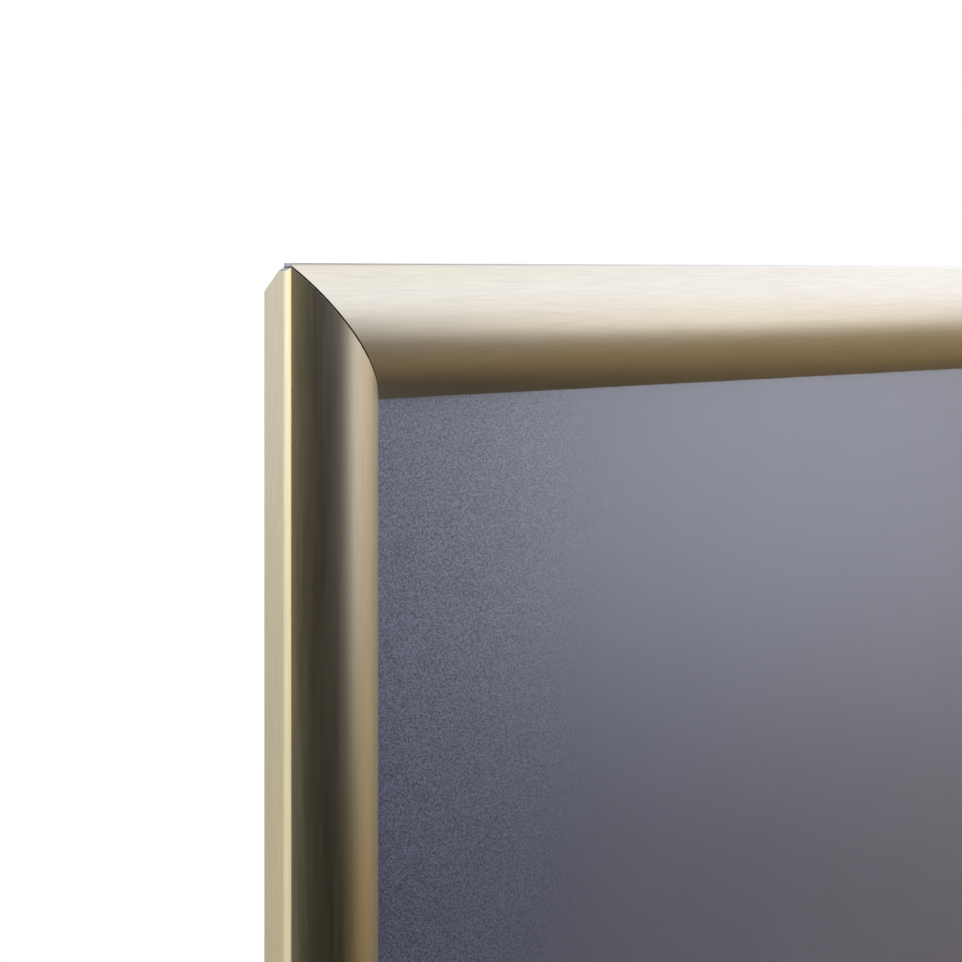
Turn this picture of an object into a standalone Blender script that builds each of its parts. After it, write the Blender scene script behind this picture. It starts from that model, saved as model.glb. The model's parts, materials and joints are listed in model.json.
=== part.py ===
# Snap-open poster frame for a wall: four mitred base rails that hold the poster between a back panel
# and a clear sheet, and four rounded cover rails that swing open on a bead along their outer edges.
#
# Metres, +Z up. The frame hangs on a wall at y = 0 and faces -Y. The origin is on the wall, at the
# middle of the top rail, on the line of its screw holes.
#
# Every rail is drawn as a cross-section: the first coordinate runs inward from the frame's outer
# edge, and the second runs forward from the wall. The third local axis lies along the rail.

from math import acos, asin, cos, pi, radians, sin, sqrt, tan

import bmesh
import bpy
from mathutils import Euler, Vector

# The poster and the rails around it
POSTER_WIDTH = 0.297
POSTER_HEIGHT = 0.420
RAIL_WIDTH = 0.025
POSTER_PLAY = 0.0004
MITRE_GAP = 0.00015
SEAT_GAP = 0.00025
RUNNING_GAP = 0.00015
CLEARANCE = 0.0003
CUT_OVERRUN = 0.002
WELD_DISTANCE = 0.00001

# Hinge bead, shared by the base rail and the cover rail
BEAD_RADIUS = 0.00065
BEAD_RISE = 0.00025
OPEN_ANGLE = radians(80)
SOCKET_SPARE_ANGLE = radians(13)

# Cover rail
COVER_WALL = 0.001
CROWN_INSET = 0.0098
CROWN_HEIGHT = 0.0113
SHOULDER_RADIUS = 0.002
SHOULDER_RISE = 0.00009
FLANGE_WALL_GAP = 0.00031
FOOT_SETBACK = 0.00025
FOOT_LIP = 0.0006
SOCKET_WALL = 0.00065
SOCKET_LIP_DROP = 0.0004
CLIP_GAP = 0.0002
TIP_CHAMFER = 0.0014

# Base rail
BASE_FLOOR = 0.001
BASE_SETBACK = 0.001
ARM_THICKNESS = 0.0006
ARM_SLOPE = radians(-8)
WEB_THICKNESS = 0.0009
FLANGE_WEB_GAP = 0.00056
SPRING_LEDGE_WIDTH = 0.001
SPRING_LEDGE_HEIGHT = 0.0007
CHANNEL_WIDTH = 0.0071
CHANNEL_DEPTH = 0.0019
CHANNEL_LIP = 0.0009
CHANNEL_LIP_THICKNESS = 0.0007
RIB_THICKNESS = 0.0007

# Wall holes
SCREW_HOLE_RADIUS = 0.00225
SCREW_HEAD_GAP = 0.00005
SCREW_END_DISTANCE = 0.060

# Corner keys
KEY_ARM_LENGTH = 0.044
KEY_TIP_CHAMFER = 0.0015
KEY_HOLE_RADIUS = 0.0011
KEY_HOLE_PLACES = (0.021, 0.036)

# Leaf springs
SPRING_LENGTH = 0.030
SPRING_THICKNESS = 0.0004
SPRING_BEND_RADIUS = 0.0007
SPRING_TAIL_DROP = 0.00145
SPRING_TIP_DROP = 0.00175
SPRING_SLOPE = radians(9)
SPRING_END_DISTANCE = 0.100

# Sheets
BACK_PANEL_THICKNESS = 0.001
INSERT_THICKNESS = 0.00025
CLEAR_SHEET_THICKNESS = 0.0004

# Facets and shading
CROWN_STEPS = 22
SHOULDER_STEPS = 10
BEAD_STEPS = 14
HOLE_STEPS = 24
SHARP_ANGLE = radians(25)

# Heights that follow, forward from the wall
LIP_UNDERSIDE = BASE_FLOOR + CHANNEL_DEPTH
LIP_TOP = LIP_UNDERSIDE + CHANNEL_LIP_THICKNESS
HINGE_HEIGHT = LIP_TOP + BEAD_RISE
BACK_PANEL_BACK = BASE_FLOOR + SEAT_GAP
INSERT_BACK = BACK_PANEL_BACK + BACK_PANEL_THICKNESS + SEAT_GAP
CLEAR_SHEET_BACK = INSERT_BACK + INSERT_THICKNESS + SEAT_GAP
FOOT_HEIGHT = CLEAR_SHEET_BACK + CLEAR_SHEET_THICKNESS + CLEARANCE
INNER_EDGE_HEIGHT = FOOT_HEIGHT + FOOT_LIP

# Insets that follow, inward from the outer edge. The cover's flange swings past the wall and the web.
HINGE_INSET = COVER_WALL + RUNNING_GAP + BEAD_RADIUS
FLANGE_SWING = HINGE_HEIGHT - FLANGE_WALL_GAP
FLANGE_DROP = sqrt(FLANGE_SWING**2 - HINGE_INSET**2)
WEB_INSET = HINGE_INSET + FLANGE_SWING + FLANGE_WEB_GAP
CHANNEL_START = WEB_INSET + WEB_THICKNESS
CHANNEL_END = CHANNEL_START + CHANNEL_WIDTH
SCREW_LINE = (CHANNEL_START + CHANNEL_END) / 2
SCREW_HEAD_RADIUS = CHANNEL_WIDTH / 2 - SCREW_HEAD_GAP
POSTER_INSET = CHANNEL_END + RIB_THICKNESS + POSTER_PLAY
BASE_INNER_EDGE = RAIL_WIDTH - BASE_SETBACK
CORNER_CLIP = HINGE_INSET + HINGE_HEIGHT + CLIP_GAP

# The socket closes round the bead and leaves room for the arm, shut and open. The outer wall turns
# into the shoulder just above the socket's root.
SOCKET_INNER = BEAD_RADIUS + RUNNING_GAP
SOCKET_OUTER = SOCKET_INNER + SOCKET_WALL
SOCKET_ROOT_ANGLE = acos((COVER_WALL - HINGE_INSET) / SOCKET_OUTER)
SHOULDER_HEIGHT = HINGE_HEIGHT + SOCKET_OUTER * sin(SOCKET_ROOT_ANGLE) + SHOULDER_RISE
ARM_SPREAD = asin(ARM_THICKNESS / 2 / BEAD_RADIUS)
SOCKET_FROM = ARM_SLOPE + ARM_SPREAD + SOCKET_SPARE_ANGLE
SOCKET_TO = ARM_SLOPE + pi + pi - ARM_SPREAD - SOCKET_SPARE_ANGLE - OPEN_ANGLE

# The whole frame
FRAME_WIDTH = POSTER_WIDTH + POSTER_INSET + POSTER_INSET
FRAME_HEIGHT = POSTER_HEIGHT + POSTER_INSET + POSTER_INSET
CENTRE = Vector((0, 0, SCREW_LINE - FRAME_HEIGHT / 2))

QUARTER_TURN = pi / 2
SIDES = ("left", "top", "right", "bottom")
CORNERS = ("bottom_left", "top_left", "top_right", "bottom_right")


def clear_scene():
    for existing in list(bpy.data.objects):
        bpy.data.objects.remove(existing, do_unlink=True)


def new_collection(name):
    collection = bpy.data.collections.new(name)
    bpy.context.scene.collection.children.link(collection)
    return collection


def new_material(name, colour, roughness, metallic, alpha=1.0):
    material = bpy.data.materials.new(name)
    material.use_nodes = True
    shader = material.node_tree.nodes["Principled BSDF"]
    shader.inputs["Base Color"].default_value = (*colour, 1.0)
    shader.inputs["Roughness"].default_value = roughness
    shader.inputs["Metallic"].default_value = metallic
    shader.inputs["Alpha"].default_value = alpha
    return material


def polar(centre, radius, angle):
    return (centre[0] + radius * cos(angle), centre[1] + radius * sin(angle))


def arc(centre, radius, start, end, steps):
    """Points on an arc from the angle start to the angle end, both included."""
    return [polar(centre, radius, start + (end - start) * step / steps) for step in range(steps + 1)]


def move_to(piece, collection):
    for holder in list(piece.users_collection):
        holder.objects.unlink(piece)
    collection.objects.link(piece)


def extrude_outline(name, outline, length, closed=True):
    """A mesh object: the outline in local XY, extruded along Z to both sides of the origin."""
    data = bpy.data.curves.new(name + "_outline", "CURVE")
    data.dimensions = "2D"
    data.fill_mode = "BOTH" if closed else "NONE"
    data.extrude = length / 2
    spline = data.splines.new("POLY")
    spline.points.add(len(outline) - 1)
    for point, (x, y) in zip(spline.points, outline):
        point.co = (x, y, 0, 1)
    spline.use_cyclic_u = closed
    drawn = bpy.data.objects.new(name + "_outline", data)
    bpy.context.scene.collection.objects.link(drawn)
    bpy.context.view_layer.update()
    evaluated = drawn.evaluated_get(bpy.context.evaluated_depsgraph_get())
    mesh = bpy.data.meshes.new_from_object(evaluated)
    mesh.name = name
    edit = bmesh.new()
    edit.from_mesh(mesh)
    bmesh.ops.remove_doubles(edit, verts=edit.verts, dist=WELD_DISTANCE)
    bmesh.ops.recalc_face_normals(edit, faces=edit.faces)
    edit.to_mesh(mesh)
    edit.free()
    piece = bpy.data.objects.new(name, mesh)
    piece.matrix_world = drawn.matrix_world
    bpy.data.objects.remove(drawn, do_unlink=True)
    return piece


def turned(name, profile):
    """A solid turned about local Z, from a profile that runs down its outer side."""
    mesh = bpy.data.meshes.new(name)
    points = [(x, 0, z) for x, z in profile]
    mesh.from_pydata(points, [(step, step + 1) for step in range(len(points) - 1)], [])
    piece = bpy.data.objects.new(name, mesh)
    bpy.context.scene.collection.objects.link(piece)
    screw = piece.modifiers.new("turn", "SCREW")
    screw.steps = HOLE_STEPS
    screw.render_steps = HOLE_STEPS
    screw.use_merge_vertices = True
    screw.merge_threshold = WELD_DISTANCE
    return piece


def cut(piece, cutter, name):
    modifier = piece.modifiers.new(name, "BOOLEAN")
    modifier.operation = "DIFFERENCE"
    modifier.object = cutter


def mark_cutter(cutter, parent):
    cutter.parent = parent
    cutter.hide_render = True
    cutter.display_type = "WIRE"
    move_to(cutter, cutters)


def shade(piece, material):
    piece.data.materials.clear()
    piece.data.materials.append(material)
    piece.data.shade_smooth()
    piece.data.set_sharp_from_angle(angle=SHARP_ANGLE)


def rail_length(side):
    return FRAME_HEIGHT if side in ("left", "right") else FRAME_WIDTH


def across(side):
    """Half the frame's size across a rail: from the frame's centre to that rail's outer edge."""
    return (FRAME_WIDTH if side in ("left", "right") else FRAME_HEIGHT) / 2


def side_angle(side):
    return SIDES.index(side) * QUARTER_TURN


def place_on_side(piece, side, inset, height):
    """Stand a rail's local frame on its side of the frame, at a place in the cross-section."""
    angle = side_angle(side)
    outward = Vector((inset - across(side), -height, 0))
    outward.rotate(Euler((0, angle, 0)))
    piece.rotation_euler = (pi, angle, 0)
    piece.location = CENTRE + outward


def mitre_ends(piece, length, inset):
    """Slide each end point back along the rail by its depth, which cuts both ends at 45 degrees."""
    for vertex in piece.data.vertices:
        depth = vertex.co.x + inset
        reach = length / 2 - depth - MITRE_GAP * sqrt(2)
        vertex.co.z = reach if vertex.co.z > 0 else -reach


def inner_crown():
    """The radius and end angle of the arc from the level top of the crown to the rail's inner edge."""
    run = RAIL_WIDTH - CROWN_INSET
    drop = CROWN_HEIGHT - INNER_EDGE_HEIGHT
    radius = (run**2 + drop**2) / (drop + drop)
    return radius, acos(run / radius)


def outer_crown():
    """The radius of the arc from the crown's top into the shoulder, and the angle where they meet."""
    run = CROWN_INSET - SHOULDER_RADIUS
    drop = CROWN_HEIGHT - SHOULDER_HEIGHT
    room = drop - SHOULDER_RADIUS
    radius = (run**2 + drop**2 - SHOULDER_RADIUS**2) / (room + room)
    return radius, pi - asin((radius - drop) / (radius - SHOULDER_RADIUS))


def cover_outline():
    inner_radius, inner_angle = inner_crown()
    outer_radius, meeting = outer_crown()
    outer_centre = (CROWN_INSET, CROWN_HEIGHT - outer_radius)
    inner_centre = (CROWN_INSET, CROWN_HEIGHT - inner_radius)
    shoulder = (SHOULDER_RADIUS, SHOULDER_HEIGHT)
    foot_reach = inner_radius - COVER_WALL
    foot_angle = asin((FOOT_HEIGHT - inner_centre[1]) / foot_reach)
    hinge = (HINGE_INSET, HINGE_HEIGHT)
    lip_end = polar(hinge, SOCKET_INNER, SOCKET_TO)

    outside = arc(shoulder, SHOULDER_RADIUS, pi, meeting, SHOULDER_STEPS)
    outside += arc(outer_centre, outer_radius, meeting, QUARTER_TURN, CROWN_STEPS)[1:]
    outside += arc(inner_centre, inner_radius, QUARTER_TURN, inner_angle, CROWN_STEPS)[1:]
    foot = [(RAIL_WIDTH - FOOT_SETBACK, FOOT_HEIGHT)]
    inside = arc(inner_centre, foot_reach, foot_angle, QUARTER_TURN, CROWN_STEPS)
    inside += arc(outer_centre, outer_radius - COVER_WALL, QUARTER_TURN, meeting, CROWN_STEPS)[1:]
    inside += arc(shoulder, SHOULDER_RADIUS - COVER_WALL, meeting, pi, SHOULDER_STEPS)[1:]
    hook = arc(hinge, SOCKET_OUTER, SOCKET_ROOT_ANGLE, SOCKET_FROM, BEAD_STEPS // 2)
    socket = arc(hinge, SOCKET_INNER, SOCKET_FROM, SOCKET_TO, BEAD_STEPS)
    flange = [
        (COVER_WALL, lip_end[1] - SOCKET_LIP_DROP),
        (COVER_WALL, HINGE_HEIGHT - FLANGE_DROP),
        (0, HINGE_HEIGHT - FLANGE_DROP),
    ]
    return outside + foot + inside + hook + socket + flange


def base_outline():
    """The floor, the rib and lips of the key channel, the web, and the arm out to the bead."""
    fall = tan(ARM_SLOPE)
    edge_rise = ARM_THICKNESS / 2 / cos(ARM_SLOPE)
    arm_top_end = WEB_INSET + WEB_THICKNESS / 2
    arm_top = HINGE_HEIGHT + (arm_top_end - HINGE_INSET) * fall + edge_rise
    arm_foot = HINGE_HEIGHT + (WEB_INSET - HINGE_INSET) * fall - edge_rise
    ledge_edge = WEB_INSET - SPRING_LEDGE_WIDTH
    floor_and_rib = [
        (ledge_edge, 0),
        (BASE_INNER_EDGE, 0),
        (BASE_INNER_EDGE, BASE_FLOOR),
        (CHANNEL_END + RIB_THICKNESS, BASE_FLOOR),
        (CHANNEL_END + RIB_THICKNESS, LIP_TOP),
        (CHANNEL_END - CHANNEL_LIP, LIP_TOP),
        (CHANNEL_END - CHANNEL_LIP, LIP_UNDERSIDE),
        (CHANNEL_END, LIP_UNDERSIDE),
        (CHANNEL_END, BASE_FLOOR),
    ]
    web = [
        (CHANNEL_START, BASE_FLOOR),
        (CHANNEL_START, LIP_UNDERSIDE),
        (CHANNEL_START + CHANNEL_LIP, LIP_UNDERSIDE),
        (CHANNEL_START + CHANNEL_LIP, LIP_TOP),
    ]
    arm = [(arm_top_end, arm_top)]
    bead = arc(
        (HINGE_INSET, HINGE_HEIGHT),
        BEAD_RADIUS,
        ARM_SLOPE + ARM_SPREAD,
        ARM_SLOPE + pi + pi - ARM_SPREAD,
        BEAD_STEPS,
    )
    outer_web = [
        (WEB_INSET, arm_foot),
        (WEB_INSET, SPRING_LEDGE_HEIGHT),
        (ledge_edge, SPRING_LEDGE_HEIGHT),
    ]
    return floor_and_rib + web + arm + bead + outer_web


def spring_path():
    """The middle line of a leaf: up the web, round a bend, and out to the cover rail's flange."""
    half = SPRING_THICKNESS / 2
    web_line = WEB_INSET - CLEARANCE - half
    bend_height = SPRING_LEDGE_HEIGHT + CLEARANCE + half + SPRING_BEND_RADIUS
    bend_centre = (web_line - SPRING_BEND_RADIUS, bend_height)
    bend = arc(bend_centre, SPRING_BEND_RADIUS, 0, -QUARTER_TURN - SPRING_SLOPE, SHOULDER_STEPS)
    tip_inset = COVER_WALL + CLEARANCE + half
    tip_foot = tip_inset + SPRING_BEND_RADIUS
    leaf_end = (tip_foot, bend[-1][1] + (bend[-1][0] - tip_foot) * tan(SPRING_SLOPE))
    tail = (web_line, HINGE_HEIGHT - SPRING_TAIL_DROP)
    tip = (tip_inset, HINGE_HEIGHT - SPRING_TIP_DROP)
    return [tail] + bend + [leaf_end, tip]


def corner_cut_middle(depth):
    """How far in from both sides of a corner a cube of twice the depth stands, to cut the depth off."""
    return depth / 2 - depth / sqrt(2)


def cut_with_cube(piece, name, size, place, turn):
    bpy.ops.mesh.primitive_cube_add(size=1)
    cutter = bpy.context.object
    cutter.name = name
    cutter.scale = size
    cutter.location = place
    cutter.rotation_euler = turn
    mark_cutter(cutter, piece)
    cut(piece, cutter, name)


def make_cover_rail(side, material):
    length = rail_length(side)
    hinge = bpy.data.objects.new("hinge_" + side, None)
    hinge.empty_display_size = RAIL_WIDTH
    parts.objects.link(hinge)
    place_on_side(hinge, side, HINGE_INSET, HINGE_HEIGHT)

    outline = [(x - HINGE_INSET, y - HINGE_HEIGHT) for x, y in cover_outline()]
    cover = extrude_outline("cover_rail_" + side, outline, length)
    mitre_ends(cover, length, HINGE_INSET)
    parts.objects.link(cover)
    cover.parent = hinge

    # The outer wall's corners are cut away at 45 degrees, so that two open rails pass each other, and
    # the sharp tip of each mitre is taken off
    clip_inset = RAIL_WIDTH / 2 - CUT_OVERRUN
    clip_middle = corner_cut_middle(CORNER_CLIP)
    tip_middle = corner_cut_middle(TIP_CHAMFER)
    clip_size = (RAIL_WIDTH, CORNER_CLIP * 2, CORNER_CLIP * 2)
    tip_size = (TIP_CHAMFER * 2, CROWN_HEIGHT + CUT_OVERRUN, TIP_CHAMFER * 2)
    for end in (-1, 1):
        clip_end = end * (length / 2 - clip_middle)
        clip_place = (clip_inset - HINGE_INSET, clip_middle - HINGE_HEIGHT, clip_end)
        cut_with_cube(cover, "corner_clip_" + side, clip_size, clip_place, (pi / 4, 0, 0))
        tip_end = end * (length / 2 - tip_middle)
        tip_place = (tip_middle - HINGE_INSET, CROWN_HEIGHT / 2 - HINGE_HEIGHT, tip_end)
        cut_with_cube(cover, "tip_chamfer_" + side, tip_size, tip_place, (0, pi / 4, 0))
    shade(cover, material)


def make_base_rail(side, material):
    length = rail_length(side)
    base = extrude_outline("base_rail_" + side, base_outline(), length)
    mitre_ends(base, length, 0)
    parts.objects.link(base)
    place_on_side(base, side, 0, 0)

    # Screw holes through the channel floor, wide enough above it for the screw's head
    profile = [
        (0, LIP_TOP + CUT_OVERRUN),
        (SCREW_HEAD_RADIUS, LIP_TOP + CUT_OVERRUN),
        (SCREW_HEAD_RADIUS, BASE_FLOOR + CLEARANCE),
        (SCREW_HOLE_RADIUS, BASE_FLOOR + CLEARANCE),
        (SCREW_HOLE_RADIUS, -CUT_OVERRUN),
        (0, -CUT_OVERRUN),
    ]
    for end in (-1, 1):
        cutter = turned("screw_hole_" + side, profile)
        cutter.rotation_euler = (-QUARTER_TURN, 0, 0)
        cutter.location = (SCREW_LINE, 0, end * (length / 2 - SCREW_END_DISTANCE))
        mark_cutter(cutter, base)
        cut(base, cutter, "screw hole")
    shade(base, material)


def make_springs(side, material):
    for number, end in enumerate((-1, 1), start=1):
        spring = extrude_outline(f"leaf_spring_{side}_{number}", spring_path(), SPRING_LENGTH, closed=False)
        leaf = spring.modifiers.new("leaf thickness", "SOLIDIFY")
        leaf.thickness = SPRING_THICKNESS
        leaf.offset = 0
        leaf.use_even_offset = True
        parts.objects.link(spring)
        place_on_side(spring, side, 0, 0)
        along = Vector((0, 0, end * (rail_length(side) / 2 - SPRING_END_DISTANCE)))
        along.rotate(spring.rotation_euler)
        spring.location += along
        shade(spring, material)


def make_corner_key(corner, material):
    near = CHANNEL_START + CLEARANCE
    far = CHANNEL_END - CLEARANCE
    tip = KEY_ARM_LENGTH
    chamfer = KEY_TIP_CHAMFER
    outline = [
        (near, near),
        (tip - chamfer, near),
        (tip, near + chamfer),
        (tip, far - chamfer),
        (tip - chamfer, far),
        (far, far),
        (far, tip - chamfer),
        (far - chamfer, tip),
        (near + chamfer, tip),
        (near, tip - chamfer),
    ]
    thickness = CHANNEL_DEPTH - CLEARANCE - CLEARANCE
    key = extrude_outline("corner_key_" + corner, outline, thickness)
    parts.objects.link(key)

    # Fixing holes punched through each arm
    profile = [
        (0, thickness),
        (KEY_HOLE_RADIUS, thickness),
        (KEY_HOLE_RADIUS, -thickness),
        (0, -thickness),
    ]
    middle = (near + far) / 2
    for along in KEY_HOLE_PLACES:
        for place in ((along, middle, 0), (middle, along, 0)):
            punch = turned("key_hole_" + corner, profile)
            punch.location = place
            mark_cutter(punch, key)
            cut(key, punch, "fixing hole")
    number = CORNERS.index(corner)
    angle = number * QUARTER_TURN
    halves = (FRAME_WIDTH / 2, FRAME_HEIGHT / 2)
    height = (BASE_FLOOR + LIP_UNDERSIDE) / 2
    place = Vector((-halves[number % 2], -height, -halves[1 - number % 2]))
    place.rotate(Euler((0, angle, 0)))
    key.rotation_euler = (QUARTER_TURN, angle, 0)
    key.location = CENTRE + place
    shade(key, material)


def make_sheet(name, back, thickness, material):
    bpy.ops.mesh.primitive_cube_add(size=1)
    sheet = bpy.context.object
    sheet.name = name
    sheet.data.name = name
    for vertex in sheet.data.vertices:
        vertex.co.x *= POSTER_WIDTH
        vertex.co.y *= thickness
        vertex.co.z *= POSTER_HEIGHT
    sheet.location = CENTRE + Vector((0, -back - thickness / 2, 0))
    move_to(sheet, parts)
    shade(sheet, material)


clear_scene()
parts = new_collection("poster_frame")
cutters = new_collection("cutters")

for side_name in SIDES:
    gold = new_material("gold_cover_" + side_name, (0.53, 0.45, 0.31), 0.35, 1.0)
    make_cover_rail(side_name, gold)
    plain_gold = new_material("gold_base_" + side_name, (0.50, 0.43, 0.31), 0.45, 1.0)
    make_base_rail(side_name, plain_gold)
    spring_steel = new_material("spring_steel_" + side_name, (0.42, 0.43, 0.45), 0.3, 1.0)
    make_springs(side_name, spring_steel)

for corner_name in CORNERS:
    zinc = new_material("zinc_" + corner_name, (0.60, 0.61, 0.63), 0.4, 1.0)
    make_corner_key(corner_name, zinc)

white_plastic = new_material("white_styrene", (0.80, 0.80, 0.78), 0.5, 0.0)
slate = new_material("slate_card", (0.16, 0.17, 0.21), 0.6, 0.0)
clear_film = new_material("clear_film", (0.85, 0.87, 0.90), 0.35, 0.0, alpha=0.25)
make_sheet("back_panel", BACK_PANEL_BACK, BACK_PANEL_THICKNESS, white_plastic)
make_sheet("insert_sheet", INSERT_BACK, INSERT_THICKNESS, slate)
make_sheet("clear_cover_sheet", CLEAR_SHEET_BACK, CLEAR_SHEET_THICKNESS, clear_film)
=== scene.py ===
import json
from math import acos, asin, cos, pi, radians, sin, sqrt

import bmesh
import bpy
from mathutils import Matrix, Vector

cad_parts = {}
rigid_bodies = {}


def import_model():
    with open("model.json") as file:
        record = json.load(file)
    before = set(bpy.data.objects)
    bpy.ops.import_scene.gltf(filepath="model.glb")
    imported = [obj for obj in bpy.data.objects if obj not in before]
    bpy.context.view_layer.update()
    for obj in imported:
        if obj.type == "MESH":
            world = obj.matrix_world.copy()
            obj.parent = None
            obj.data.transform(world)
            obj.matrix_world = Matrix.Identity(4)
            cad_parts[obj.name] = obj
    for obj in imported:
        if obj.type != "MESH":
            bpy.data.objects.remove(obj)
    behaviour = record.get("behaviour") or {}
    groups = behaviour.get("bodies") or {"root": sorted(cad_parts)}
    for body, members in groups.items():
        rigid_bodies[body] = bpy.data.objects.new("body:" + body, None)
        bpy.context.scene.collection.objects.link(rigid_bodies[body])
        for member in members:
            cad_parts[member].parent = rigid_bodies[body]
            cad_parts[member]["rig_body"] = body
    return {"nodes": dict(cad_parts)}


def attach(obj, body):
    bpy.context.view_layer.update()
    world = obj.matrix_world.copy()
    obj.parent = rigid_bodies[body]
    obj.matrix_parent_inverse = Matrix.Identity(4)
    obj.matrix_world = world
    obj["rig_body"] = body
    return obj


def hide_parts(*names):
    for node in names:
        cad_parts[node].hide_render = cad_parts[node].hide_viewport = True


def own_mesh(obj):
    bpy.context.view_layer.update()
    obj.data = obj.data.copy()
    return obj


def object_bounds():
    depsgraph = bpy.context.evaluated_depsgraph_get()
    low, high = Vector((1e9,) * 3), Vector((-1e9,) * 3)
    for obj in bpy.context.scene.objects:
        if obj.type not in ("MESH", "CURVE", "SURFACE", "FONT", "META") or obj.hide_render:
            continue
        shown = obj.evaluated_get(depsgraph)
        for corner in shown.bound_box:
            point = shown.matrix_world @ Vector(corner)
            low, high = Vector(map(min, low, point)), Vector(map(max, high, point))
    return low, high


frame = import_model()
cad_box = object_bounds()

MM = 0.001
SIDES = ("left", "top", "right", "bottom")
ALONG = {"left": (0, 0, 1), "top": (1, 0, 0), "right": (0, 0, 1), "bottom": (1, 0, 0)}
INWARD = {"left": (1, 0, 0), "top": (0, 0, -1), "right": (-1, 0, 0), "bottom": (0, 0, 1)}

# Edges sharper than these are kept hard; the covers' shoulder crease is a shallow one
SHARP_ANGLE = radians(24)
CREASE_ANGLE = radians(10)

# The finishes. Noise lies mostly between its low and its high value, and a face belongs to a cut
# when it turns this far towards the rail's length.
NOISE_LOW, NOISE_HIGH = 0.3, 0.7
CUT_FACE_TURN = 0.35
CUT_ROUGHNESS = 0.38
GOLD = (0.61, 0.545, 0.395)
COVER_STREAK, BASE_STREAK = 0.06, 0.02
COVER_ROUGHNESS, BASE_ROUGHNESS = 0.30, 0.42
ROUGHNESS_SPREAD = 0.02
ANISOTROPY = 0.76
QUARTER_TURN = 0.25
ZINC = (0.62, 0.63, 0.65)
SPRING_STEEL = (0.42, 0.43, 0.45)
SHEET_IOR = 1.6

# The cover rail's section: the CAD part's sizes, but for the crown and the shoulder, which follow
# the photograph
RAIL_WIDTH = 25 * MM
WALL = 1.0 * MM
CROWN_INSET = 11.5 * MM
CROWN_HEIGHT = 10.9 * MM
SHOULDER_RADIUS = 2.6 * MM
SHOULDER_HEIGHT = 5.6 * MM
SHOULDER_TURN = radians(38)
CREASE_RELIEF = radians(5)
INNER_EDGE_HEIGHT = 4.3 * MM
FOOT_HEIGHT = 3.7 * MM
FOOT_SETBACK = 0.25 * MM
HINGE_INSET = 1.8 * MM
HINGE_HEIGHT = 3.85 * MM
SOCKET_INNER = 0.8 * MM
SOCKET_OUTER = 1.45 * MM
SOCKET_FROM = radians(32.486)
SOCKET_TO = radians(231.514)
SOCKET_LIP_DROP = 0.4 * MM
FLANGE_FOOT = 0.8018 * MM
CORNER_CLIP = 5.85 * MM
TIP_CHAMFER = 1.4 * MM
MITRE_GAP = 0.15 * MM

# The photograph's camera, fitted to the rails' edges and the mitre
IMAGE_SIDE = 962
SENSOR = 36.0
FOCAL_PIXELS = 2494.2
CAMERA_YAW = radians(47.57)
CAMERA_DISTANCE = 439.8 * MM
CORNER_OFFSET = 34.686 * MM
EYE_BELOW_TOP = 1.948 * MM
CORNER_FORWARD = 6.0 * MM
HORIZON_ROW = 274.12


def make_camera():
    outer_edge, top_edge = cad_box[0][0], cad_box[1][2]
    data = bpy.data.cameras.new("photo_camera")
    data.sensor_width = SENSOR
    data.lens = FOCAL_PIXELS / IMAGE_SIDE * SENSOR
    data.shift_y = (HORIZON_ROW - IMAGE_SIDE / 2) / IMAGE_SIDE
    data.clip_start = 0.01
    forward = Vector((sin(CAMERA_YAW), cos(CAMERA_YAW), 0))
    right = Vector((cos(CAMERA_YAW), -sin(CAMERA_YAW), 0))
    corner = Vector((outer_edge, -CORNER_FORWARD, top_edge - EYE_BELOW_TOP))
    camera = bpy.data.objects.new("photo_camera", data)
    camera.location = corner - forward * CAMERA_DISTANCE + right * CORNER_OFFSET
    camera.rotation_euler = (pi / 2, 0, -CAMERA_YAW)
    bpy.context.scene.collection.objects.link(camera)
    bpy.context.scene.camera = camera


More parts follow.
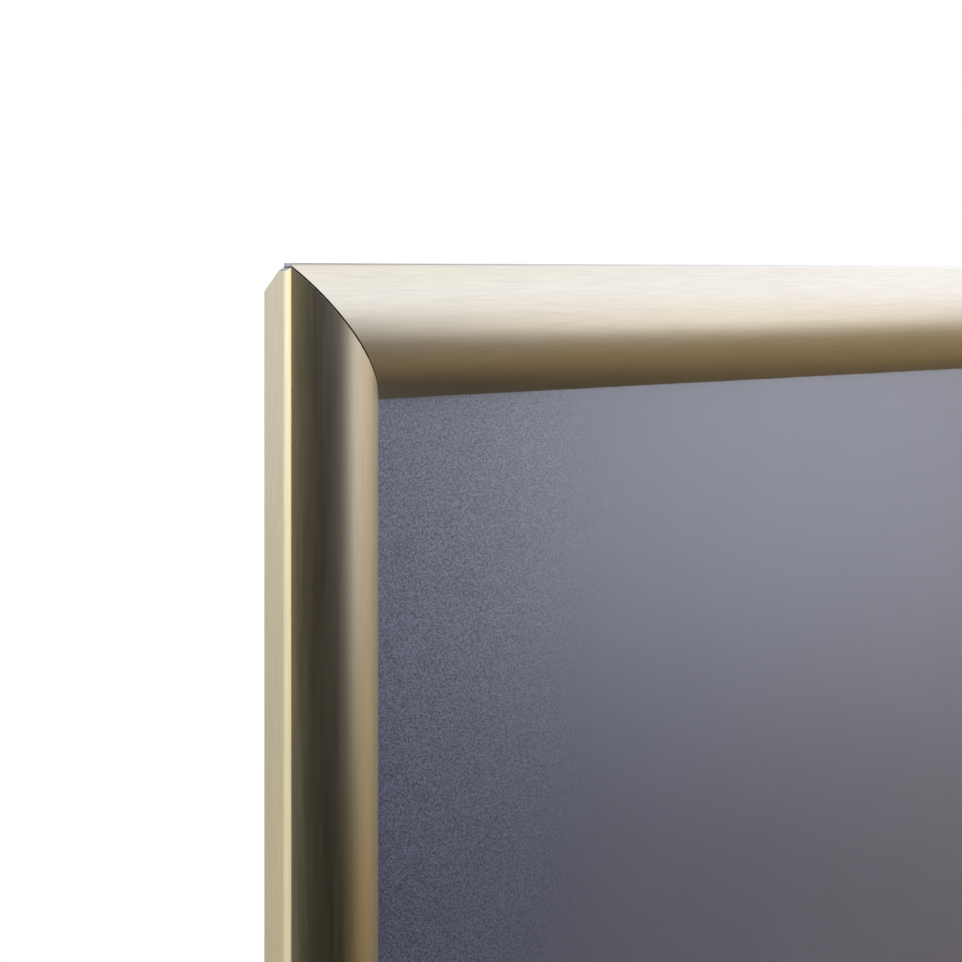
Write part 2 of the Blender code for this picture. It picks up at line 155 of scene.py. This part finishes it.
class Nodes:
    """A short way to write a material's node tree."""

    def __init__(self, tree):
        self.tree = tree

    def add(self, kind, inputs=None, **settings):
        node = self.tree.nodes.new(kind)
        for name, value in settings.items():
            setattr(node, name, value)
        for name, value in (inputs or {}).items():
            self.feed(node.inputs[name], value)
        return node

    def feed(self, socket, value):
        if isinstance(value, bpy.types.NodeSocket):
            self.tree.links.new(value, socket)
        else:
            socket.default_value = value

    def math(self, operation, first, second=0.0):
        node = self.add("ShaderNodeMath", operation=operation)
        self.feed(node.inputs[0], first)
        self.feed(node.inputs[1], second)
        return node.outputs[0]

    def span(self, value, low, high, new_low=0.0, new_high=1.0):
        """Takes the value from one range to another, smoothly, and stops at both ends."""
        names = ("From Min", "From Max", "To Min", "To Max")
        limits = dict(zip(names, (low, high, new_low, new_high)))
        node = self.add("ShaderNodeMapRange", limits, interpolation_type="SMOOTHSTEP")
        self.feed(node.inputs["Value"], value)
        return node.outputs[0]

    def mix(self, share, first, second):
        node = self.add("ShaderNodeMix", data_type="RGBA")
        self.feed(node.inputs[0], share)
        self.feed(node.inputs[6], first)
        self.feed(node.inputs[7], second)
        return node.outputs[2]

    def tones(self, noise, darker, lighter):
        """Two colours mixed by a noise, over the values that it mostly has."""
        return self.mix(self.span(noise, NOISE_LOW, NOISE_HIGH), rgb(*darker), rgb(*lighter))

    def tint(self, first, second):
        inputs = {0: 1.0, 6: first, 7: second}
        return self.add("ShaderNodeMix", inputs, data_type="RGBA", blend_type="MULTIPLY").outputs[2]

    def dot(self, first, second):
        product = self.add("ShaderNodeVectorMath", {0: first, 1: second}, operation="DOT_PRODUCT")
        return product.outputs["Value"]

    def place(self):
        """Where the shaded point is, in the part's own frame."""
        return self.add("ShaderNodeTexCoord").outputs["Object"]

    def noise(self, scale, detail=2.0, roughness=0.5):
        """Noise in the part's own frame; scale is a number, or one for each axis."""
        where = self.place()
        if not isinstance(scale, (int, float)):
            where = self.add("ShaderNodeVectorMath", {0: where, 1: scale}, operation="MULTIPLY").outputs[0]
            scale = 1.0
        inputs = {"Vector": where, "Scale": scale, "Detail": detail, "Roughness": roughness}
        return self.add("ShaderNodeTexNoise", inputs).outputs[0]

    def bump(self, height, distance, strength):
        inputs = {"Height": height, "Distance": distance, "Strength": strength}
        return self.add("ShaderNodeBump", inputs).outputs[0]


def new_material(name):
    material = bpy.data.materials.new(name)
    material.use_nodes = True
    nodes = Nodes(material.node_tree)
    shader = material.node_tree.nodes["Principled BSDF"]
    return material, nodes, shader


def rgb(red, green, blue):
    return (red, green, blue, 1.0)


def along_scale(along, lengthwise, crosswise):
    """Noise scales that stretch a pattern along one axis."""
    return tuple(lengthwise if share else crosswise for share in along)


def faces_along(nodes, direction):
    """How far the face turns towards a direction, from -1 to 1."""
    return nodes.dot(nodes.add("ShaderNodeNewGeometry").outputs["True Normal"], direction)


def brushed_gold(name, side, colour, streak, roughness):
    """Gold brushed along the rail, silver on its cut corners, and painted shade in its mitres: dark brown on
    the mitre faces for the shade in the gap between the rails.
    """
    material, nodes, shader = new_material(name)
    along = ALONG[side]
    fine = nodes.noise(along_scale(along, 90.0, 4600.0), detail=3.0, roughness=0.65)
    broad = nodes.noise(along_scale(along, 40.0, 2200.0), detail=3.0, roughness=0.6)
    cloud = nodes.noise(along_scale(along, 9.0, 60.0), detail=2.0)
    cut_face = nodes.math("GREATER_THAN", nodes.math("ABSOLUTE", faces_along(nodes, along)), CUT_FACE_TURN)
    inward_face = nodes.math("GREATER_THAN", faces_along(nodes, INWARD[side]), CUT_FACE_TURN)
    # Picks out the mitre faces, which get painted shade below
    mitre_shade_mask = nodes.math("MULTIPLY", cut_face, inward_face)

    lighter = tuple(min(1.0, part * (1 + streak)) for part in colour)
    darker = tuple(part * (1 - streak) for part in colour)
    tone = nodes.tones(cloud, (0.96, 0.96, 0.96), (1.0, 1.0, 1.0))
    gold = nodes.tint(nodes.tones(fine, darker, lighter), tone)
    saw = nodes.noise((900.0, 900.0, 2600.0), detail=3.0, roughness=0.7)
    silver = nodes.tones(saw, (0.62, 0.62, 0.63), (0.86, 0.86, 0.87))
    # Painted shade: the mitre faces are coloured dark brown for the shade that falls in the gap between the
    # rails, and the clipped corners stay bare silver
    silver_cuts_and_mitre_shade = nodes.mix(mitre_shade_mask, silver, rgb(0.16, 0.13, 0.09))
    nodes.feed(shader.inputs["Base Color"], nodes.mix(cut_face, gold, silver_cuts_and_mitre_shade))

    smoother, rougher = roughness - ROUGHNESS_SPREAD, roughness + ROUGHNESS_SPREAD
    brushed_roughness = nodes.span(broad, 0.25, 0.75, smoother, rougher)
    shine = nodes.add("ShaderNodeMix", {0: cut_face, 2: brushed_roughness, 3: CUT_ROUGHNESS})
    nodes.feed(shader.inputs["Roughness"], shine.outputs[0])
    grain = nodes.math("ADD", nodes.math("MULTIPLY", fine, 0.6), nodes.math("MULTIPLY", broad, 0.6))
    nodes.feed(shader.inputs["Normal"], nodes.bump(grain, 0.002 * MM, 0.5))
    shader.inputs["Metallic"].default_value = 1.0
    shader.inputs["Anisotropic"].default_value = ANISOTROPY
    shader.inputs["Anisotropic Rotation"].default_value = QUARTER_TURN
    lengthwise = nodes.add("ShaderNodeCombineXYZ", dict(zip("XYZ", along))).outputs[0]
    nodes.feed(shader.inputs["Tangent"], lengthwise)
    return material


def plated_steel(name, colour, roughness, spangle):
    """Zinc or steel with faint crystal patches."""
    material, nodes, shader = new_material(name)
    patches = nodes.noise(420.0, detail=3.0, roughness=0.6)
    grain = nodes.noise(6000.0, detail=2.0)
    darker = tuple(part * (1 - spangle) for part in colour)
    patch_roughness = nodes.span(patches, NOISE_LOW, NOISE_HIGH, roughness, roughness + 0.12)
    nodes.feed(shader.inputs["Base Color"], nodes.tones(patches, darker, colour))
    nodes.feed(shader.inputs["Roughness"], patch_roughness)
    nodes.feed(shader.inputs["Normal"], nodes.bump(grain, 0.01 * MM, 0.5))
    shader.inputs["Metallic"].default_value = 1.0
    return material


def styrene():
    """The plain white plastic of the back panel, with a faint orange peel."""
    material, nodes, shader = new_material("white_styrene")
    orange_peel = nodes.noise(1600.0, detail=3.0)
    cloud = nodes.noise(22.0, detail=3.0)
    nodes.feed(shader.inputs["Base Color"], nodes.tones(cloud, (0.74, 0.74, 0.72), (0.80, 0.80, 0.785)))
    nodes.feed(shader.inputs["Roughness"], nodes.span(orange_peel, NOISE_LOW, NOISE_HIGH, 0.42, 0.56))
    nodes.feed(shader.inputs["Normal"], nodes.bump(orange_peel, 0.02 * MM, 0.5))
    return material


def grain_strength(nodes):
    """The sheet's grain is strongest along its left edge and at its top, as in the photograph. It
    fades from x -140 mm to -65 mm, and less from z -30 mm to -150 mm."""
    x, _, z = nodes.add("ShaderNodeSeparateXYZ", {0: nodes.place()}).outputs
    sideways = nodes.span(x, -65 * MM, -140 * MM, 0.15, 1.0)
    downwards = nodes.span(z, -150 * MM, -30 * MM, 0.5, 1.0)
    return nodes.math("MULTIPLY", sideways, downwards)


def slate_card():
    """The insert: slate blue card with a fine speckle under a satin coat."""
    material, nodes, shader = new_material("slate_insert")
    fibre = nodes.noise(2400.0, detail=4.0, roughness=0.7)
    cloud = nodes.noise(30.0, detail=3.0)
    speckle = nodes.math("SUBTRACT", nodes.noise(3000.0, detail=1.5, roughness=0.6), 0.5)
    speckle = nodes.math("MULTIPLY", speckle, grain_strength(nodes))
    slate = nodes.mix(nodes.span(speckle, -0.09, 0.09), rgb(0.05, 0.054, 0.085), rgb(0.365, 0.39, 0.54))
    pale = nodes.tones(cloud, (0.95, 0.95, 0.95), (1.0, 1.0, 1.0))
    nodes.feed(shader.inputs["Base Color"], nodes.tint(slate, pale))
    nodes.feed(shader.inputs["Roughness"], nodes.span(fibre, NOISE_LOW, NOISE_HIGH, 0.55, 0.7))
    nodes.feed(shader.inputs["Normal"], nodes.bump(fibre, 0.02 * MM, 0.6))
    shader.inputs["Coat Weight"].default_value = 0.8
    shader.inputs["Coat Roughness"].default_value = 0.22
    shader.inputs["Coat IOR"].default_value = SHEET_IOR
    return material


RIB_WOBBLE = 3.0
CROSS_RIBS = 0.4
RIB_SHARE = 0.05


def ribs(nodes, lean, spacing):
    """Fine ribs on the sheet's face, a little wavy, that lean from the upright by an angle."""
    across = nodes.dot(nodes.place(), (cos(lean), 0, sin(lean)))
    turns = nodes.math("MULTIPLY", across, 2 * pi / spacing)
    wobble = nodes.math("MULTIPLY", nodes.noise(220.0, detail=2.0), RIB_WOBBLE)
    return nodes.math("SINE", nodes.math("ADD", turns, wobble))


def clear_film():
    """The clear front sheet, with an anti-glare grain crossed by two sets of ribs."""
    material, nodes, shader = new_material("clear_film")
    grain = nodes.noise(3200.0, detail=2.0, roughness=0.6)
    cross_ribs = nodes.math("MULTIPLY", ribs(nodes, radians(-40), 0.9 * MM), CROSS_RIBS)
    weave = nodes.math("ADD", ribs(nodes, radians(32), 0.8 * MM), cross_ribs)
    texture = nodes.math("ADD", nodes.math("SUBTRACT", grain, 0.5), nodes.math("MULTIPLY", weave, RIB_SHARE))
    texture = nodes.math("MULTIPLY", texture, grain_strength(nodes))
    film = nodes.mix(nodes.span(texture, -0.2, 0.2), rgb(0.84, 0.86, 0.89), rgb(0.98, 0.99, 1.0))
    nodes.feed(shader.inputs["Base Color"], film)
    nodes.feed(shader.inputs["Roughness"], nodes.span(texture, -0.2, 0.2, 0.16, 0.22))
    nodes.feed(shader.inputs["Normal"], nodes.bump(texture, 0.03 * MM, 1.0))
    shader.inputs["IOR"].default_value = SHEET_IOR
    shader.inputs["Transmission Weight"].default_value = 1.0
    return material


def finish_piece(mesh, node, material, edge_radius, sharp_angle=SHARP_ANGLE):
    """The mesh stands for the node, with its hard edges just rounded and its curves smooth."""
    mesh.shade_smooth()
    mesh.set_sharp_from_angle(angle=sharp_angle)
    mesh.materials.append(material)
    piece = bpy.data.objects.new(mesh.name, mesh)
    bpy.context.scene.collection.objects.link(piece)
    bevel = piece.modifiers.new("soft edges", "BEVEL")
    bevel.width = edge_radius
    bevel.segments = 2
    bevel.limit_method = "ANGLE"
    bevel.angle_limit = sharp_angle
    bevel.harden_normals = True
    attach(piece, frame["nodes"][node]["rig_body"])
    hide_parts(node)
    return piece


def smooth_copy(node, material, edge_radius):
    """The node's own shape with its triangles welded and its flat faces whole."""
    original = frame["nodes"][node]
    mesh = bpy.data.meshes.new("smooth_" + node)
    points = [vertex.co for vertex in original.data.vertices]
    mesh.from_pydata(points, [], [list(polygon.vertices) for polygon in original.data.polygons])
    edit = bmesh.new()
    edit.from_mesh(mesh)
    bmesh.ops.remove_doubles(edit, verts=edit.verts, dist=0.002 * MM)
    bmesh.ops.dissolve_limit(edit, angle_limit=radians(0.5), verts=edit.verts, edges=edit.edges)
    edit.to_mesh(mesh)
    edit.free()
    return finish_piece(mesh, node, material, edge_radius)


def arc(centre, radius, start, end, steps):
    """Points on an arc from the angle start to the angle end, both included."""
    angles = [start + (end - start) * step / steps for step in range(steps + 1)]
    return [(centre[0] + radius * cos(angle), centre[1] + radius * sin(angle)) for angle in angles]


def cover_section():
    """The cover rail's section as the photograph's mitre shows it: insets from the frame's outer edge,
    and heights from the wall. The CAD node's section has a rounder shoulder, and its crown is up to
    0.9 mm fuller."""
    hinge = (HINGE_INSET, HINGE_HEIGHT)
    root_angle = acos((WALL - HINGE_INSET) / SOCKET_OUTER)
    shoulder, turned = (SHOULDER_RADIUS, SHOULDER_HEIGHT), pi - SHOULDER_TURN
    outline = arc(shoulder, SHOULDER_RADIUS, pi, turned, 20)

    run, drop = CROWN_INSET - outline[-1][0], CROWN_HEIGHT - outline[-1][1]
    outer_radius = (run**2 + drop**2) / 2 / drop
    outer_centre = (CROWN_INSET, CROWN_HEIGHT - outer_radius)
    crease = pi - acos(run / outer_radius)

    run, drop = RAIL_WIDTH - CROWN_INSET, CROWN_HEIGHT - INNER_EDGE_HEIGHT
    inner_radius = (run**2 + drop**2) / 2 / drop
    inner_centre = (CROWN_INSET, CROWN_HEIGHT - inner_radius)
    foot_angle = asin((FOOT_HEIGHT - inner_centre[1]) / (inner_radius - WALL))

    outline += arc(outer_centre, outer_radius, crease, pi / 2, 40)[1:]
    outline += arc(inner_centre, inner_radius, pi / 2, acos(run / inner_radius), 60)[1:]
    outline += [(RAIL_WIDTH - FOOT_SETBACK, FOOT_HEIGHT)]
    outline += arc(inner_centre, inner_radius - WALL, foot_angle, pi / 2, 40)
    outline += arc(outer_centre, outer_radius - WALL, pi / 2, crease - CREASE_RELIEF, 30)[1:]
    outline += arc(shoulder, SHOULDER_RADIUS - WALL, turned + CREASE_RELIEF, pi, 16)
    outline += arc(hinge, SOCKET_OUTER, root_angle, SOCKET_FROM, 16)
    socket = arc(hinge, SOCKET_INNER, SOCKET_FROM, SOCKET_TO, 24)
    flange = [(WALL, socket[-1][1] - SOCKET_LIP_DROP), (WALL, FLANGE_FOOT), (0, FLANGE_FOOT)]
    return outline + socket + flange


def make_cover(side, material):
    """A cover rail drawn along its side of the frame, with mitred ends and its corners cut off."""
    (left, _, bottom), (right, _, top) = cad_box
    upright = side in ("left", "right")
    half = (top - bottom if upright else right - left) / 2
    if upright:
        middle = Vector((left if side == "left" else right, 0, (top + bottom) / 2))
    else:
        middle = Vector(((left + right) / 2, 0, top if side == "top" else bottom))
    inward, along, forward = Vector(INWARD[side]), Vector(ALONG[side]), Vector((0, -1, 0))

    section = cover_section()
    edit = bmesh.new()
    rings = []
    for end in (-1, 1):
        ring = []
        for inset, height in section:
            reach = half - inset - MITRE_GAP * sqrt(2)
            ring.append(edit.verts.new(middle + inward * inset + forward * height + along * reach * end))
        rings.append(ring)
    for first, second in zip(range(len(section)), [*range(1, len(section)), 0]):
        edit.faces.new((rings[0][first], rings[0][second], rings[1][second], rings[1][first]))
    for ring in rings:
        edit.faces.new(ring)
    for end in (-1, 1):
        for depth, across in ((CORNER_CLIP, forward), (TIP_CHAMFER, inward)):
            place = middle + along * end * half + across * depth
            facing = along * end - across
            whole = [*edit.verts, *edit.edges, *edit.faces]
            bmesh.ops.bisect_plane(edit, geom=whole, plane_co=place, plane_no=facing, clear_outer=True)
            bmesh.ops.holes_fill(edit, edges=[rim for rim in edit.edges if rim.is_boundary])
    bmesh.ops.recalc_face_normals(edit, faces=edit.faces)
    mesh = bpy.data.meshes.new("smooth_cover_rail_" + side)
    edit.to_mesh(mesh)
    edit.free()
    return finish_piece(mesh, "cover_rail_" + side, material, 0.06 * MM, CREASE_ANGLE)


def bend_spring(spring):
    """Gives the spring its own copy of its mesh; the leaves are left as they are, unbent."""
    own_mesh(spring)


def dress(node, material):
    piece = frame["nodes"][node]
    piece.data.materials.clear()
    piece.data.materials.append(material)


# The soft studio light, as sky round the frame in degrees. Azimuth runs from the frame's left, 0, past
# its front, 90, to its right, 180, and elevation is above the horizon. Each light has its azimuths, its
# elevations and its radiance. It fades in over the first two of four angles and out over the last two.
LIGHTS = {
    "right_wall": ((97, 121, 200, 225), (0, 14, 30, 50), (1.54, 1.65, 2.10)),
    "right_high": ((97, 121, 200, 225), (30, 50, 65, 90), (1.31, 1.37, 1.53)),
    "right_edge": ((131, 139, 216, 241), (-12, 1, 5, 15), (0.67, 0.61, 0.63)),
    "right_strip": ((132, 140, 146, 153), (-13, -5, -1, 7), (1.41, 1.47, 1.64)),
    "right_far": ((150, 160, 216, 241), (-18, -8, 0, 10), (0.49, 0.43, 0.30)),
    "right_low": ((134, 144, 200, 225), (-46, -28, -14, -4), (0.34, 0.25, 0.13)),
    "left_wall": ((-30, -12, 14, 26), (-12, 0, 40, 65), (2.20, 2.20, 2.20)),
    "left_warm": ((14, 26, 34, 46), (-12, 0, 40, 65), (2.15, 1.89, 0.97)),
    "left_far": ((-60, -48, -30, -12), (-12, 0, 40, 65), (1.26, 1.31, 1.47)),
    "left_low": ((-60, -40, 33, 52), (-75, -25, -12, 0), (1.12, 1.09, 0.97)),
    "left_high": ((-60, -40, 42, 97), (40, 65, 75, 90), (0.90, 0.93, 1.02)),
    "overhead": ((-92, -91, 271, 272), (60, 85, 91, 92), (0.30, 0.30, 0.30)),
    "front": ((40, 55, 97, 121), (5, 25, 50, 80), (1.10, 1.25, 1.80)),
    "behind": ((-92, -91, -80, -65), (-92, -91, 91, 92), (0.60, 0.60, 0.60)),
    "behind_right": ((216, 241, 271, 272), (-92, -91, 91, 92), (0.50, 0.50, 0.50)),
}


def window(nodes, value, edges):
    """1 between the middle two edges, and 0 outside the outer two."""
    first, second, third, fourth = edges
    return nodes.math("MULTIPLY", nodes.span(value, first, second), nodes.span(value, fourth, third))


def make_world():
    world = bpy.data.worlds.new("studio")
    world.use_nodes = True
    tree = world.node_tree
    tree.nodes.clear()
    nodes = Nodes(tree)
    where = nodes.add("ShaderNodeTexCoord").outputs["Generated"]
    x, y, z = nodes.add("ShaderNodeSeparateXYZ", {0: where}).outputs
    leftward, forward = nodes.math("MULTIPLY", x, -1.0), nodes.math("MULTIPLY", y, -1.0)
    angle = nodes.math("ARCTAN2", forward, leftward)
    behind = nodes.math("MULTIPLY", nodes.math("LESS_THAN", angle, -pi / 2), 2 * pi)
    azimuth = nodes.math("DEGREES", nodes.math("ADD", angle, behind))
    elevation = nodes.math("DEGREES", nodes.math("ARCSINE", z))
    studio = rgb(0.0, 0.0, 0.0)
    for azimuths, elevations, radiance in LIGHTS.values():
        share = nodes.math("MULTIPLY", window(nodes, azimuth, azimuths), window(nodes, elevation, elevations))
        inputs = {0: share, 6: studio, 7: rgb(*radiance)}
        studio = nodes.add("ShaderNodeMix", inputs, data_type="RGBA", blend_type="ADD").outputs[2]
    seen = nodes.add("ShaderNodeLightPath").outputs["Is Camera Ray"]
    colour = nodes.mix(seen, studio, rgb(1.0, 1.0, 1.0))
    light = nodes.add("ShaderNodeBackground", {"Color": colour, "Strength": 1.0})
    output = nodes.add("ShaderNodeOutputWorld")
    tree.links.new(light.outputs[0], output.inputs["Surface"])
    bpy.context.scene.world = world


FLOOR_DROP = 0.85


def make_floor():
    bpy.ops.mesh.primitive_circle_add(vertices=96, radius=0.95, fill_type="NGON")
    floor = bpy.context.object
    floor.name = "studio_floor"
    floor.location = (0, 0, cad_box[0][2] - FLOOR_DROP)
    material, nodes, shader = new_material("pale_floor")
    speckle = nodes.noise(240.0, detail=2.0)
    nodes.feed(shader.inputs["Base Color"], nodes.tones(speckle, (0.84, 0.84, 0.84), (0.86, 0.86, 0.86)))
    shader.inputs["Roughness"].default_value = 0.8
    floor.data.materials.append(material)


make_camera()
for side in SIDES:
    cover_gold = brushed_gold("gold_cover_" + side, side, GOLD, COVER_STREAK, COVER_ROUGHNESS)
    make_cover(side, cover_gold)
    base_gold = brushed_gold("gold_base_" + side, side, GOLD, BASE_STREAK, BASE_ROUGHNESS)
    smooth_copy("base_rail_" + side, base_gold, 0.06 * MM)
zinc = plated_steel("key_zinc", ZINC, roughness=0.30, spangle=0.12)
spring_steel = plated_steel("spring_steel", SPRING_STEEL, roughness=0.24, spangle=0.10)
for node in frame["nodes"]:
    if node.startswith("corner_key"):
        smooth_copy(node, zinc, 0.10 * MM)
    if node.startswith("leaf_spring"):
        bend_spring(smooth_copy(node, spring_steel, 0.05 * MM))
dress("back_panel", styrene())
dress("insert_sheet", slate_card())
dress("clear_cover_sheet", clear_film())

make_world()
make_floor()

scene = bpy.context.scene
scene.view_settings.view_transform = "Standard"
